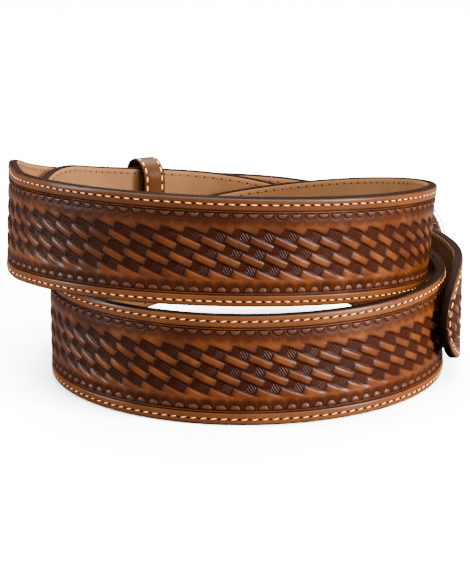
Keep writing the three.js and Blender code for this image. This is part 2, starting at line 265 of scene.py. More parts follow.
class Calc:                       # sums of sockets, so that a pattern reads as its formula
    def __init__(self, tree, socket):
        self.tree, self.socket = tree, socket

    def run(self, operation, *others):
        node = self.tree.nodes.new("ShaderNodeMath")
        node.operation = operation
        for slot, value in zip(node.inputs, (self, *others)):
            if isinstance(value, Calc):
                self.tree.links.new(value.socket, slot)
            else:
                slot.default_value = value
        return Calc(self.tree, node.outputs[0])

    def __add__(self, other): return self.run("ADD", other)
    def __sub__(self, other): return self.run("SUBTRACT", other)
    def __mul__(self, other): return self.run("MULTIPLY", other)
    def __truediv__(self, other): return self.run("DIVIDE", other)

    def ramp(self, start, end):   # 0 at start, 1 at end, smooth between; start may be the larger
        node = self.tree.nodes.new("ShaderNodeMapRange")
        node.interpolation_type = "SMOOTHSTEP"
        self.tree.links.new(self.socket, node.inputs["Value"])
        low, high = min(start, end), max(start, end)
        node.inputs["From Min"].default_value, node.inputs["From Max"].default_value = low, high
        node.inputs["To Min"].default_value, node.inputs["To Max"].default_value = (
            (0, 1) if start < end else (1, 0))
        return Calc(self.tree, node.outputs["Result"])


def layValues(tree):
    node = tree.nodes.new("ShaderNodeAttribute")
    node.attribute_name = "lay"
    split = tree.nodes.new("ShaderNodeSeparateXYZ")
    tree.links.new(node.outputs["Vector"], split.inputs[0])
    return [Calc(tree, split.outputs[k]) for k in range(3)]


def noise(tree, scale, detail=3.0, stretch=(1, 1, 1)):
    where = tree.nodes.new("ShaderNodeTexCoord")
    mapping = tree.nodes.new("ShaderNodeMapping")
    mapping.inputs["Scale"].default_value = stretch
    node = tree.nodes.new("ShaderNodeTexNoise")
    node.inputs["Scale"].default_value = scale
    node.inputs["Detail"].default_value = detail
    tree.links.new(where.outputs["Object"], mapping.inputs["Vector"])
    tree.links.new(mapping.outputs["Vector"], node.inputs["Vector"])
    return Calc(tree, node.outputs["Fac"])


def blend(tree, share, first, second):
    node = tree.nodes.new("ShaderNodeMix")
    node.data_type = "RGBA"
    tree.links.new(share.socket, node.inputs["Factor"])
    for slot, value in ((node.inputs["A"], first), (node.inputs["B"], second)):
        if isinstance(value, tuple):
            slot.default_value = (*value, 1)
        else:
            tree.links.new(value, slot)
    return node.outputs["Result"]


def bump(tree, shader, height, distance, strength=1.0):
    node = tree.nodes.new("ShaderNodeBump")
    node.inputs["Distance"].default_value = distance * metre
    node.inputs["Strength"].default_value = strength
    tree.links.new(height.socket, node.inputs["Height"])
    tree.links.new(node.outputs["Normal"], shader.inputs["Normal"])


# The tooling of the strap's face, in millimetres on the flat strap
tooling = {
    "weaveSlant": 24.3, "weavePitch": 14.5, "weaveRow": 3.27, "weaveMiddle": -0.2, "weaveReach": 9.0,
    "weaveShift": 3.5, "blockStart": -3.2, "blockEnd": 3.5, "barHalf": 1.06, "hatchPitch": 0.8,
    "grooveOne": 4.2, "grooveTwo": 5.0, "grooveWidth": 0.2,
    "stampPitch": 4.7, "stampTop": 5.25, "stampHalf": 1.72, "stampDepth": 1.65, "fanEnd": 9.6,
}
relief = {                        # how deep each mark goes or how high it stands, in millimetres
    "edgeRounding": 0.8, "grooveOne": 0.3, "grooveTwo": 0.4, "border": 0.34, "stamp": 0.36, "stampRing": 0.14,
    "pillow": 0.14, "arch": 0.22, "barSink": 0.2, "gap": 0.42, "block": 0.22, "valley": 0.34, "blockGap": 0.1,
}
stain = {                         # the colours of the tooled face
    "bar": (0.0175, 0.0037, 0.0004), "barLight": (0.0345, 0.0087, 0.0012), "worn": (0.0090, 0.0020, 0.0005),
    # barEndShadeSheen: painted shade and sheen, darker and greyer, where the bars slope into the blocks
    "margin": (0.0275, 0.0088, 0.0021), "edge": (0.0030, 0.0011, 0.0005), "barEndShadeSheen": (0.0088, 0.0034, 0.0016),
    # frontShade: painted shade for the front of the upper round, also laid thinly over the whole weave
    "frontShade": (0.0082, 0.0019, 0.0005), "stamp": (0.0150, 0.0053, 0.0027), "dark": (0.0050, 0.0008, 0.0001),
}
frontShadeTurns = 565, 600, 670, 700    # the stretch at the front of the upper round that is painted darker, as painted shade
slant = math.radians(tooling["weaveSlant"])


def weaveCells(s, w):             # the place in the cell of each point, along and across its row
    x, y = tooling["weaveShift"] - s, w - tooling["weaveMiddle"]
    u = x * math.cos(slant) - y * math.sin(slant)
    v = x * math.sin(slant) + y * math.cos(slant)
    k = np.floor(v / tooling["weaveRow"] + 0.5)
    across = v - k * tooling["weaveRow"]
    place = u / tooling["weavePitch"] - k / 2 + 0.5
    m = np.floor(place)
    return (place - m - 0.5) * tooling["weavePitch"], across, np.abs(m) <= 1


def softStep(x, start, end):
    f = np.clip((x - start) / (end - start), 0, 1)
    return f * f * (3 - 2 * f)


def faceRelief(s, w, d):          # how far the tooled face stands over its plain height
    t, r = tooling, relief
    edge = np.clip(r["edgeRounding"] - d, 0, r["edgeRounding"])
    height = -(r["edgeRounding"] - np.sqrt(r["edgeRounding"] ** 2 - edge ** 2))
    for groove in ("grooveOne", "grooveTwo"):
        height = height - r[groove] * np.exp(-((d - t[groove]) / t["grooveWidth"]) ** 2)
    border = softStep(d, t["grooveTwo"], t["grooveTwo"] + 0.3)
    height = height - r["border"] * border * (1 - softStep(d, 6.4, t["fanEnd"]))
    along = (s / t["stampPitch"] + 0.5) % 1 * t["stampPitch"] - t["stampPitch"] / 2
    ring = np.sqrt((along / t["stampHalf"]) ** 2 + ((d - t["stampTop"]) / t["stampDepth"]) ** 2)
    below = softStep(d, t["stampTop"] - 0.25, t["stampTop"] + 0.1)
    dome = 1 - 0.3 * np.clip(ring, 0, 1) ** 2
    height = height + r["stamp"] * dome * (1 - softStep(ring, 0.82, 1.0)) * below
    height = height - r["stampRing"] * np.exp(-((ring - 1.12) / 0.12) ** 2) * below
    u, v, inWeave = weaveCells(s, w)
    near = 1 - softStep(np.abs(w - t["weaveMiddle"]), t["weaveReach"] - 1.2, t["weaveReach"] + 0.6)
    block = softStep(u, t["blockStart"] - 0.2, t["blockStart"] + 0.2)
    block = block * (1 - softStep(u, t["blockEnd"] - 0.9, t["blockEnd"])) * inWeave
    gap = softStep(np.abs(v), t["barHalf"] - 0.3, t["weaveRow"] / 2)
    pillow = np.clip(1 - (v / t["weaveRow"] * 2) ** 2, 0, 1)
    arch = np.clip(1 - (np.clip(np.abs(u), 3.3, 7.25) - 7.25) ** 2 / 16, 0, 1)
    bars = r["pillow"] * pillow + r["arch"] * arch - r["barSink"] - r["gap"] * gap
    valley = np.clip(1 - np.abs(u) / 3.1, 0, 1)
    sunk = r["block"] + r["valley"] * valley + r["blockGap"] * gap
    return height + near * (1 - block) * bars - block * sunk


def tooledMaterial():
    t = tooling
    material, tree, shader = newMaterial("tooledLeather")
    s, w, d = layValues(tree)
    x, y = s * -1 + t["weaveShift"], w - t["weaveMiddle"]
    u = x * math.cos(slant) - y * math.sin(slant)
    v = x * math.sin(slant) + y * math.cos(slant)
    k = (v / t["weaveRow"] + 0.5).run("FLOOR")
    across = v - k * t["weaveRow"]
    aside = across.run("ABSOLUTE")
    cell = u / t["weavePitch"] - k * 0.5 + 0.5
    m = cell.run("FLOOR")
    along = (cell - m - 0.5) * t["weavePitch"]
    block = (along.ramp(t["blockStart"] - 0.15, t["blockStart"] + 0.15)
             * along.ramp(t["blockEnd"], t["blockEnd"] - 0.5) * m.run("ABSOLUTE").ramp(1.6, 1.4))
    plain = block * -1 + 1
    near = y.run("ABSOLUTE").ramp(t["weaveReach"] + 0.6, t["weaveReach"] - 1.4)
    gap = aside.ramp(t["barHalf"] - 0.2, t["barHalf"] + 0.3) * near
    lines = ((x * 0.85 + y * 0.53) * (2 * math.pi / t["hatchPitch"])).run("SINE") * 0.5 + 0.5
    crossed = ((x * 0.6 - y * 0.8) * (2 * math.pi / 0.95)).run("SINE") * 0.5 + 0.5
    hatched = along.ramp(-0.5, -0.1) * along.ramp(2.75, 2.4)
    hatch = lines * (hatched * 0.9 + 0.1) + crossed * (hatched * -0.25 + 0.3)
    inner = aside.ramp(1.5, 1.15) * (along - 0.1).run("ABSOLUTE").ramp(3.1, 2.5)
    blockDark = hatch * inner * -0.42 + 1
    stampAlong = ((s / t["stampPitch"] + 0.5).run("FRACT") - 0.5) * t["stampPitch"]
    ringX, ringY = stampAlong / t["stampHalf"], (d - t["stampTop"]) / t["stampDepth"]
    ring = (ringX * ringX + ringY * ringY).run("SQRT")
    stamp = ring.ramp(0.96, 0.8) * d.ramp(t["stampTop"] - 0.1, t["stampTop"] + 0.12)
    border = d.ramp(t["grooveTwo"] - 0.25, t["grooveTwo"] + 0.2)
    fan = border * ring.ramp(2.9, 1.7)
    outline = (ring - 1.08).run("ABSOLUTE").ramp(0.22, 0.08) * border
    fanLines = (stampAlong * 8.3).run("SINE") * 0.05 + 0.92
    borderDark = (fan * fanLines * 0.8).run("MAXIMUM", outline * 0.97) * (stamp * -0.97 + 1)
    grooves = ((d - t["grooveOne"]).run("ABSOLUTE").ramp(0.34, 0.12)
               + (d - t["grooveTwo"]).run("ABSOLUTE").ramp(0.42, 0.16)).run("MINIMUM", 1.0)
    dark = (blockDark * block).run("MAXIMUM", gap * plain * 0.95)
    dark = dark.run("MAXIMUM", borderDark).run("MAXIMUM", grooves * 0.97)
    mottle = noise(tree, 90, 4)
    wear = noise(tree, 28, 3)
    warm = blend(tree, mottle.ramp(0.35, 0.68), stain["bar"], stain["barLight"])
    warm = blend(tree, wear.ramp(0.45, 0.78) * 0.8, warm, stain["worn"])
    warm = blend(tree, d.ramp(t["grooveOne"], t["grooveOne"] - 0.6) * 0.7, warm, stain["margin"])
    warm = blend(tree, d.ramp(0.5, 0.1) * 0.95, warm, stain["edge"])
    # painted shade and sheen: the bar ends are darkened and greyed where they slope down into the blocks
    barEndShadeSheenMask = along.run("ABSOLUTE").ramp(5.0, 3.5) * near * 0.62
    warm = blend(tree, barEndShadeSheenMask, warm, stain["barEndShadeSheen"])
    # painted shade: the front of the upper round is darkened, most towards the strap's top, and the weave everywhere
    # a little
    fromTurn, full, fading, toTurn = [distanceOf(turn) for turn in frontShadeTurns]
    frontShade = s.ramp(fromTurn, full) * s.ramp(toTurn, fading) * y.ramp(-4, 10)
    warm = blend(tree, frontShade * 0.4 + near * 0.06, warm, stain["frontShade"])
    stamped = blend(tree, stamp * 0.9, warm, stain["stamp"])
    colour = blend(tree, dark, stamped, stain["dark"])
    tree.links.new(colour, shader.inputs["Base Color"])
    fine = noise(tree, 1500, 4)
    rough = dark * 0.12 + mottle * 0.14 + 0.27
    tree.links.new(rough.socket, shader.inputs["Roughness"])
    tree.links.new((dark * -0.032 + 0.050).socket, shader.inputs["Specular IOR Level"])
    hatchHeight = block * (hatch - 0.3) * inner - gap * plain * 0.6 - grooves * 0.5 - outline * 0.4
    bump(tree, shader, hatchHeight + fan * fanLines * 1.2 + fine * 0.12 + mottle * 0.1, 0.24, 0.85)
    return material


def leatherMaterial(name, base, deep, roughness, grainScale, grainDepth, gloss=0.15):
    material, tree, shader = newMaterial(name)
    patches = noise(tree, 35, 4)
    pores = noise(tree, grainScale, 5)
    colour = blend(tree, patches.ramp(0.3, 0.72), base, deep)
    colour = blend(tree, pores.ramp(0.62, 0.8) * 0.35, colour, tuple(c * 0.45 for c in deep))
    tree.links.new(colour, shader.inputs["Base Color"])
    rough = patches * 0.14 + (roughness - 0.07)
    tree.links.new(rough.socket, shader.inputs["Roughness"])
    shader.inputs["Specular IOR Level"].default_value = gloss
    bump(tree, shader, pores + patches * 0.3, grainDepth, 0.8)
    return material


def threadMaterial(name, base, deep):
    material, tree, shader = newMaterial(name)
    strands = noise(tree, 2600, 3, (1, 1, 2.5))
    tree.links.new(blend(tree, strands.ramp(0.35, 0.65), base, deep), shader.inputs["Base Color"])
    shader.inputs["Roughness"].default_value = 0.6
    shader.inputs["Specular IOR Level"].default_value = 0.1
    bump(tree, shader, strands, 0.08, 0.8)
    return material


def silverMaterial():
    material, tree, shader = newMaterial("silver")
    tarnish = noise(tree, 60, 4)
    colour = blend(tree, tarnish.ramp(0.4, 0.75), (0.74, 0.72, 0.69), (0.5, 0.47, 0.43))
    tree.links.new(colour, shader.inputs["Base Color"])
    shader.inputs["Metallic"].default_value = 1.0
    rough = tarnish * 0.14 + 0.16
    tree.links.new(rough.socket, shader.inputs["Roughness"])
    bump(tree, shader, noise(tree, 900, 3), 0.02, 0.5)
    return material


# Each finish: its base and deep colour, roughness, grain scale and depth, and gloss
leathers = {
    "liningLeather": ((0.0560, 0.0245, 0.0086), (0.0420, 0.0175, 0.0060), 0.62, 900, 0.12, 0.03),
    "burnishedEdge": ((0.0030, 0.0011, 0.0005), (0.0015, 0.0006, 0.0003), 0.6, 700, 0.10, 0.004),
    "plainLeather": ((0.0275, 0.0088, 0.0016), (0.0185, 0.0053, 0.0009), 0.42, 1100, 0.06, 0.018),
    "keeperLeather": ((0.0175, 0.0058, 0.0009), (0.0120, 0.0035, 0.0005), 0.42, 1100, 0.06, 0.016),
    # stitchHoleShade: near black specks painted as the shade inside the stitch holes
    "stitchHoleShade": ((0.0014, 0.0005, 0.0002), (0.0009, 0.0004, 0.0002), 0.7, 900, 0.05, 0.01),
}
tooledLeather = tooledMaterial()
liningLeather, edgeLeather, plainLeather, keeperLeather, holeShadeLeather = [
    leatherMaterial(name, *look) for name, look in leathers.items()]
paleThread = threadMaterial("paleThread", (0.52, 0.205, 0.068), (0.30, 0.108, 0.033))
liningThread = threadMaterial("liningThread", (0.039, 0.0145, 0.0048), (0.023, 0.0085, 0.0026))
silver = silverMaterial()
print("materials made")


# A leather band laid flat: a grid for its face, its border drawn back for the walls, and a plain back
def flatBand(name, columns, halves, shares):
    bpy.ops.mesh.primitive_grid_add(x_subdivisions=len(columns) - 1, y_subdivisions=len(shares) - 1, size=2)
    piece = bpy.context.object
    piece.name = piece.data.name = name

    def work():
        bpy.ops.mesh.select_all(action="SELECT")
        bpy.ops.mesh.region_to_loop()
        bpy.ops.mesh.extrude_edges_move(TRANSFORM_OT_translate={"value": (0, 0, -1)})
    edit(piece, work)
    points = vertices(piece)
    back = points[:, 2] < -0.5
    inEnds = back & (np.abs(points[:, 1]) > 1 - 1e-6) & (np.abs(points[:, 0]) < 1 - 1e-6)
    mesh = piece.data
    pairs = np.array([list(e.vertices) for e in mesh.edges])
    long = inEnds[pairs].all(1) & (np.abs(points[pairs[:, 0], 1] - points[pairs[:, 1], 1]) < 1e-6)
    mesh.polygons.foreach_set("select", np.zeros(len(mesh.polygons), bool))
    mesh.vertices.foreach_set("select", np.zeros(len(mesh.vertices), bool))
    mesh.edges.foreach_set("select", long)

    def closeBack():
        bpy.ops.mesh.bridge_edge_loops()
        bpy.ops.mesh.select_all(action="DESELECT")
        bpy.ops.mesh.select_non_manifold()
        bpy.ops.mesh.fill_holes(sides=0)
    bpy.context.tool_settings.mesh_select_mode = (False, True, False)
    edit(piece, closeBack)
    bpy.context.tool_settings.mesh_select_mode = (True, False, False)
    i = np.rint((points[:, 0] + 1) / 2 * (len(columns) - 1)).astype(int)
    j = np.rint((points[:, 1] + 1) / 2 * (len(shares) - 1)).astype(int)
    return piece, np.asarray(columns)[i], np.asarray(shares)[j] * np.asarray(halves)[i], back


def roundedHalf(s, length, half, startRounding, endRounding):    # half width along a band with round ends
    value = np.full_like(s, half)
    for inset, rounding in ((s, startRounding), (length - s, endRounding)):
        if rounding > 0:
            share = np.clip(1 - inset / rounding, 0, 1)
            value = np.minimum(value, half * np.sqrt(np.clip(1 - share ** 2, 0, 1)))
    return value


def columnsFor(length, startRounding, endRounding, spacing, roundSteps=24):
    angle = np.linspace(0, math.pi / 2, roundSteps + 1)[:-1]
    start = startRounding * (1 - np.cos(angle)) if startRounding > 0 else np.array([])
    end = length - (endRounding * (1 - np.cos(angle)))[::-1] if endRounding > 0 else np.array([])
    cells = [startRounding]
    while cells[-1] < length - endRounding - 1e-6:
        cells.append(cells[-1] + spacing(cells[-1]))
    share = (np.array(cells) - startRounding) / (cells[-1] - startRounding)
    middle = startRounding + share * (length - endRounding - startRounding)
    return np.concatenate([start, middle, end])


def edgeDistance(s, w, length, half, startRounding, endRounding):    # how far a point is from the band's outline
    distance = half - np.abs(w)
    for inset, rounding in ((s, startRounding), (length - s, endRounding)):
        if rounding <= 0:
            continue
        x = np.clip(1 - inset / rounding, 0, None) * rounding
        level = (x / rounding) ** 2 + (w / half) ** 2
        slope = 2 * np.sqrt((x / rounding ** 2) ** 2 + (w / half ** 2) ** 2) + 1e-9
        near = np.where(x > 0, (1 - level) / slope, distance)
        distance = np.minimum(distance, np.clip(near, 0, None))
    return np.clip(distance, 0, None)


# The tooled strap, in three lengths that meet behind the inner pass and under the keeper
tooledStrap = {"fineStep": 0.46, "coarseStep": 6.0, "visibleFrom": 195.0, "joints": (452.0, 781.5), "rowStep": 0.48}
rounds = (strap["innerRounding"], strap["outerRounding"])
marginRows = [0, 0.2, 0.5, 0.9, 1.5, 2.4, 3.3, 3.85, 4.05, 4.2, 4.35, 4.6, 4.85, 5.0, 5.15, 5.35]
innerRows = np.linspace(marginRows[-1], halfWidth, int((halfWidth - marginRows[-1]) / tooledStrap["rowStep"]) + 1)[1:]
rowPlaces = np.concatenate([halfWidth - np.array(marginRows), halfWidth - innerRows])
strapShares = np.concatenate([-rowPlaces, rowPlaces[::-1][1:]]) / halfWidth


def strapSpacing(s):
    return tooledStrap["coarseStep"] if s < distanceOf(tooledStrap["visibleFrom"]) else tooledStrap["fineStep"]


allColumns = columnsFor(strapLength, *rounds, strapSpacing)
jointColumns = [int(np.argmin(np.abs(allColumns - distanceOf(turn)))) for turn in tooledStrap["joints"]]


def tooledLength(name, columns):
    halves = roundedHalf(columns, strapLength, halfWidth, *rounds)
    piece, s, w, back = flatBand(name, columns, halves, strapShares)
    d = edgeDistance(s, w, strapLength, halfWidth, *rounds)
    front = outerFace + faceRelief(s, w, d)
    n = np.where(back, outerFace - strap["tooled"], front)
    keepLay(piece, np.stack([s, w, d], -1))
    place(piece, onRoute(s, w, n))
    tidy(piece, 2e-6)
    finishPiece(piece, tooledLeather, "tooled_leather", "belt_body")


tooledLength("tooled_strap_first", allColumns[:jointColumns[0] + 1])
tooledLength("tooled_strap_second", allColumns[jointColumns[0]:jointColumns[1] + 1])
tooledLength("tooled_strap_third", allColumns[jointColumns[1]:])
print("tooled strap made")

# The lining, whose face is gently uneven as pasted leather is
lining = {"step": 2.2, "rows": 18, "uneven": 0.05}


def makeLining():
    inset = strap["liningInset"]
    half = halfWidth - inset
    length = strapLength - 2 * inset
    columns = columnsFor(length, *rounds, lambda s: lining["step"], 14)
    shares = np.sin(np.linspace(-math.pi / 2, math.pi / 2, lining["rows"] + 1))
    piece, s, w, back = flatBand("lining", columns, roundedHalf(columns, length, half, *rounds), shares)
    d = edgeDistance(s, w, length, half, *rounds)
    ripple = lining["uneven"] * np.sin(s * 0.31 + 1.3 * np.sin(w * 0.17)) * np.sin(w * 0.4 + s * 0.05)
    face = innerFace + 0.35 * np.clip(1 - d / 0.6, 0, 1) ** 2 + ripple * np.clip(d / 3, 0, 1)
    n = np.where(back, innerFace + strap["lining"], face)
    keepLay(piece, np.stack([s + inset, w, d], -1))
    place(piece, onRoute(s + inset, w, n))
    tidy(piece, 2e-6)
    finishPiece(piece, liningLeather, "lining_leather", "belt_lining")


makeLining()
print("lining made")


# The outline of a band as one closed path at some distance from its edge, walked the same way round
def outlinePath(length, half, startRounding, endRounding, inset, step):
    a, b, h = startRounding - inset, endRounding - inset, half - inset
    turns = np.linspace(0, math.pi, 61)
    end = np.stack([length - endRounding + b * np.sin(turns), h * np.cos(turns)], -1)
    start = np.stack([startRounding - a * np.sin(turns), -h * np.cos(turns)], -1)
    path = np.concatenate([[[startRounding, h]], end, start])
    run = np.concatenate([[0], np.cumsum(np.linalg.norm(np.diff(path, axis=0), axis=1))])
    count = max(8, int(round(run[-1] / step)))
    where = np.linspace(0, run[-1], count, endpoint=False)
    points = np.stack([np.interp(where, run, path[:, k]) for k in range(2)], -1)
    along = unit(np.roll(points, -1, axis=0) - np.roll(points, 1, axis=0))
    return points, along


def ringPiece(name, major, minor):    # a sheet to be rolled into a ring that closes both ways
    bpy.ops.mesh.primitive_grid_add(x_subdivisions=major, y_subdivisions=minor, size=2)
    piece = bpy.context.object
    piece.name = piece.data.name = name
    corners = vertices(piece)
    i = np.rint((corners[:, 0] + 1) / 2 * major).astype(int) % major
    j = np.rint((corners[:, 1] + 1) / 2 * minor).astype(int) % minor
    return piece, i * minor + j


# The burnished edge covers both layers and the glue between them
edging = {"proud": 0.22, "depth": 0.75, "step": 2.0, "sides": 12, "lap": 0.05, "fromLining": 0.25,
          "fromFace": 0.55, "narrowInset": 0.45}


def makeEdging(name, length, half, startRounding, endRounding, startAt, inner, outer, material, slot):
    path, along = outlinePath(length, half, startRounding, endRounding, 0, edging["step"])
    sides = edging["sides"]
    piece, order = ringPiece(name, len(path), sides)
    angle = np.linspace(-math.pi / 2, math.pi / 2, sides - 2)
    middle, reach = (inner + outer) / 2, (outer - inner) / 2
    section = [(edging["proud"] * math.cos(a) ** 0.7 if math.cos(a) > 0 else 0, middle + reach * math.sin(a))
               for a in angle]
    section = [(max(0.0, x), n) for x, n in section] + [(-edging["depth"], middle + reach * 0.8),
                                                       (-edging["depth"], middle - reach * 0.8)]
    outward = np.stack([-along[:, 1], along[:, 0]], -1)
    rings = [(path + outward * x, np.full(len(path), n)) for x, n in section]
    s = np.stack([p[:, 0] for p, n in rings], 1).ravel()
    w = np.stack([p[:, 1] for p, n in rings], 1).ravel()
    n = np.stack([n for p, n in rings], 1).ravel()
    place(piece, onRoute(s + startAt, w, n)[order])
    tidy(piece, 2e-6)
    finishPiece(piece, material, slot)


makeEdging("burnished_edge", strapLength, halfWidth - edging["lap"], *rounds, 0, innerFace + edging["fromLining"],
           outerFace - edging["fromFace"], edgeLeather, "tooled_leather")
print("edges made")

# Stitching: a thread's length between two holes, one row on each face, all round the outline, with a dark speck
# painted as the shade in each hole
stitching = {"inset": 1.95, "pitch": 3.43, "length": 2.25, "thick": 0.28, "rise": 0.20, "slant": (-12.0, 3.0),
             "hole": 0.48}       # slant of a stitch on the lower round and on the upper one, in degrees
ball = smallBall(8, 6)
speck = smallBall(8, 4)


def stitchPlaces(length, half, startRounding, endRounding, startAt, faceHeight, side, look):
    path, along = outlinePath(length, half, startRounding, endRounding, look["inset"], look["pitch"])
    ways = np.stack([-along[:, 1], along[:, 0]], -1)

    def threadAt(k):
        angle = math.radians(look["slant"][int(path[k, 0] + startAt > distanceOf(tooledStrap["joints"][0]))])

        def put(points):
            x, y = points[:, 0] * look["length"] / 2, points[:, 1] * look["thick"] / 2
            turned = x * math.cos(angle) - y * math.sin(angle), x * math.sin(angle) + y * math.cos(angle)
            spot = path[k] + np.outer(turned[0], along[k]) + np.outer(turned[1], ways[k])
            rise = look["rise"] * (points[:, 2] * 0.9 + 0.15 - 0.75 * points[:, 0] ** 2)
            return onRoute(spot[:, 0] + startAt, spot[:, 1], faceHeight + side * rise)
        return put

    # painted shade: a flat dark speck at each stitch hole stands in for the shade inside it
    def holeShadeAt(k):
        def put(points):
            spot = path[k] + along[k] * look["pitch"] / 2
            spot = spot + np.outer(points[:, 0] * look["hole"], along[k])
            spot = spot + np.outer(points[:, 1] * look["hole"] * 0.8, ways[k])
            return onRoute(spot[:, 0] + startAt, spot[:, 1], faceHeight + side * points[:, 2] * 0.05)
        return put
    count = range(len(path))
    return [threadAt(k) for k in count], [holeShadeAt(k) for k in count]


def makeStitches(name, thread, *where):
    threads, holes = stitchPlaces(*where)
    finishPiece(repeat(name + "_thread", ball, threads), thread, "thread", smooth=80)
    finishPiece(repeat(name + "_holes", speck, holes), holeShadeLeather, "tooled_leather", smooth=80)


makeStitches("face_stitching", paleThread, strapLength, halfWidth, *rounds, 0, outerFace, 1, stitching)
makeStitches("lining_stitching", liningThread, strapLength, halfWidth, *rounds, 0, innerFace, -1, stitching)
print("stitching made")

# The keeper: a loop whose crown is arched, upright on the sloping strap
keeper = {"turn": 61.5, "width": 9.0, "thickness": 1.7, "innerRoom": 3.4, "crownRoom": 2.4, "bottomRoom": 2.2,
          "corner": 3.5, "fit": 0.5, "around": 120, "edgeRounding": 0.5, "seam": 1.25, "seamSink": 0.12,
          "faceCrown": 0.08, "stitchPitch": 3.5, "thread": (1.2, 0.26, 0.2), "hole": (0.36, 0.34, 0.04)}


def keeperPath(grow):
    k = keeper
    inner = innerFace - k["innerRoom"] - grow
    outer = layerStep + outerFace + k["fit"] + grow
    middle, halfDepth = (inner + outer) / 2, (outer - inner) / 2
    top = halfWidth + k["crownRoom"] + grow
    seat = math.sqrt(1 - ((layerStep + outerFace - middle) / (halfDepth - grow)) ** 2)
    arch = (k["crownRoom"] + strap["endDrop"] - k["fit"]) / (1 - seat) + grow
    bottom = -halfWidth - strap["endDrop"] - k["bottomRoom"] - grow
    corner = k["corner"] + grow
    quarter = np.linspace(0, math.pi / 2, 13)
    crown = np.linspace(0, math.pi, 41)
    right = np.stack([outer - corner + corner * np.sin(quarter), bottom + corner - corner * np.cos(quarter)], -1)
    over = np.stack([middle + halfDepth * np.cos(crown), top - arch + arch * np.sin(crown)], -1)
    left = np.stack([inner + corner - corner * np.cos(quarter), bottom + corner - corner * np.sin(quarter)], -1)
    path = np.concatenate([right, over, left, right[:1]])
    run = np.concatenate([[0], np.cumsum(np.linalg.norm(np.diff(path, axis=0), axis=1))])
    where = np.linspace(0, run[-1], k["around"], endpoint=False)
    points = np.stack([np.interp(where, run, path[:, c]) for c in range(2)], -1)
    along = unit(np.roll(points, -1, axis=0) - np.roll(points, 1, axis=0))
    return points, np.stack([along[:, 1], -along[:, 0]], -1), along


keeperPoint, keeperAlong, _, _ = [v[0] for v in frameAt(np.array([keeper["turn"]]))]
keeperUp = np.array([0.0, 0.0, 1.0])
keeperLevel = unit(keeperAlong * [1, 1, 0])
keeperOut = np.cross(keeperUp, keeperLevel)


def onKeeper(flat, across):       # flat is out and up, across runs along the strap
    return (keeperPoint + flat[..., :1] * keeperOut + flat[..., 1:] * keeperUp
            + np.asarray(across)[..., None] * keeperLevel)


def makeKeeper():
    half, t = keeper["width"] / 2, keeper["thickness"] / 2
    path, outward, along = keeperPath(t)
    corner, seam, sink, crown = keeper["edgeRounding"], keeper["seam"], keeper["seamSink"], keeper["faceCrown"]
    side = [(0, -corner), (0.15, -0.2), (corner, 0), (seam - 0.25, 0), (seam, -sink), (seam + 0.25, 0)]
    front = [(inset - half, t + drop) for inset, drop in side]
    front += [(-1.2, t + crown * 0.625), (0, t + crown), (1.2, t + crown * 0.625)]
    front += [(half - inset, t + drop) for inset, drop in side[::-1]]
    section = front + [(half, -t + 0.3), (half - 0.4, -t), (0, -t), (0.4 - half, -t), (-half, -t + 0.3)]
    piece, order = ringPiece("keeper", len(path), len(section))
    flat = np.stack([path + outward * n for _, n in section], 1).reshape(-1, 2)
    place(piece, onKeeper(flat, np.tile([a for a, _ in section], len(path)))[order])
    tidy(piece, 2e-6)
    finishPiece(piece, keeperLeather, "plain_leather", "keeper_loop")


def makeKeeperStitches():
    half, t = keeper["width"] / 2, keeper["thickness"]
    path, outward, along = keeperPath(t)
    run = np.concatenate([[0], np.cumsum(np.linalg.norm(np.diff(np.concatenate([path, path[:1]]), axis=0), axis=1))])
    count = int(run[-1] / keeper["stitchPitch"])
    threads, holes = [], []

    def putAt(where, size, side):
        spot = np.array([np.interp(where, run, np.append(path[:, q], path[0, q])) for q in range(2)])
        k = int(np.searchsorted(run, where)) % len(path)

        def put(points):
            ahead = np.outer(points[:, 0] * size[0], along[k])
            rise = np.outer(points[:, 2] * size[2] - 0.02, outward[k])
            return onKeeper(spot + ahead + rise, side * (half - keeper["seam"]) + points[:, 1] * size[1])
        return put
    for side in (-1, 1):
        for c in range(count):
            threads.append(putAt(run[-1] * c / count, keeper["thread"], side))
            holes.append(putAt(run[-1] * (c + 0.5) / count, keeper["hole"], side))
    finishPiece(repeat("keeper_thread", ball, threads), paleThread, "thread", smooth=80)
    # painted shade: dark specks for the shade inside the keeper's stitch holes
    finishPiece(repeat("keeper_holes", speck, holes), holeShadeLeather, "plain_leather", smooth=80)


def makeKeeperEdges():            # the cut edges of the keeper, burnished
    half, t = keeper["width"] / 2, keeper["thickness"] / 2
    path, outward, along = keeperPath(t)
    for name, side in (("keeper_edge_near", -1), ("keeper_edge_far", 1)):
        section = [(0.12 * math.cos(a), (t - 0.18) * math.sin(a)) for a in np.linspace(-math.pi / 2, math.pi / 2, 9)]
        section += [(-0.4, t - 0.5), (-0.4, 0.5 - t)]
        if side < 0:
            section = section[::-1]
        piece, order = ringPiece(name, len(path), len(section))
        flat = np.stack([path + outward * n for _, n in section], 1).reshape(-1, 2)
        place(piece, onKeeper(flat, np.tile([side * (half - 0.02 + a) for a, _ in section], len(path)))[order])
        tidy(piece, 2e-6)
        finishPiece(piece, edgeLeather, "plain_leather")


makeKeeper()
makeKeeperStitches()
makeKeeperEdges()
print("keeper made")


# Narrow straps are shaped flat, as s along, w across and n out, and then laid on the route
def cut(piece, cutter):
    applyModifier(piece, "BOOLEAN", operation="DIFFERENCE", solver="EXACT", object=cutter)
    bpy.data.objects.remove(cutter)


def barAt(s, w, n, radius, length, sides, across=True):
    bpy.ops.mesh.primitive_cylinder_add(vertices=sides, radius=radius, depth=length, location=(s, w, n),
                                        rotation=(math.pi / 2 if across else 0, 0, 0))
    bar = bpy.context.object
    bpy.ops.object.transform_apply(location=True, rotation=True, scale=True)
    return bar


